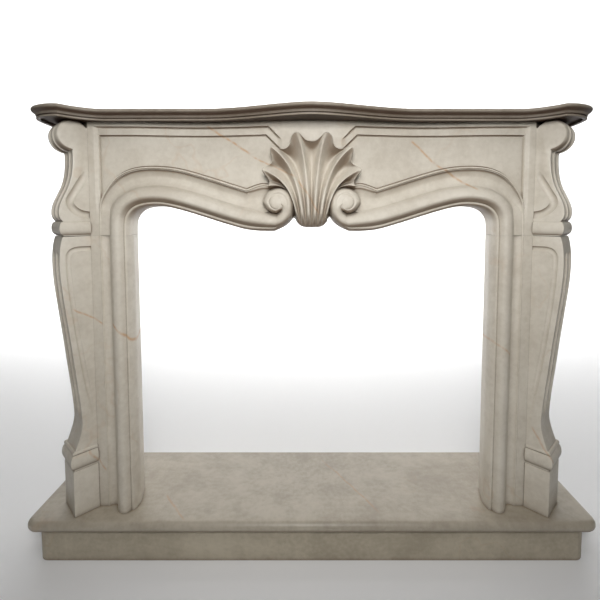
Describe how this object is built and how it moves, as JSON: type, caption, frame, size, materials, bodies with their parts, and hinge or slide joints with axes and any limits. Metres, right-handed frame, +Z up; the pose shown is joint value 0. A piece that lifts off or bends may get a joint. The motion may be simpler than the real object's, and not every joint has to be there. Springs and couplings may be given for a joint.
{
  "type": "fireplace mantel",
  "caption": "Marble fireplace surround with a serpentine shelf on splayed scroll consoles, a carved shell over the opening and a hearth slab on a plinth",
  "frame": {"origin": "middle of the plinth's underside, which stands on the floor", "axes": "+X to the right seen from the room, +Y towards the wall, +Z up"},
  "size_m": [1.504, 0.366, 1.179],
  "materials": {
    "marble": "honed cream marble with thin rust veins",
    "shelf_marble": "honed brown-grey marble",
    "hearth_marble": "honed darker beige marble"
  },
  "bodies": {
    "root": {"hearth_plinth": "hearth_marble", "hearth_slab": "hearth_marble", "jamb_left": "marble", "jamb_right": "marble", "console_leg_left": "marble", "console_leg_right": "marble", "console_scroll_left": "marble", "console_scroll_right": "marble", "return_left": "marble", "return_right": "marble", "frieze": "marble", "shelf": "shelf_marble"}
  },
  "joints": []
}
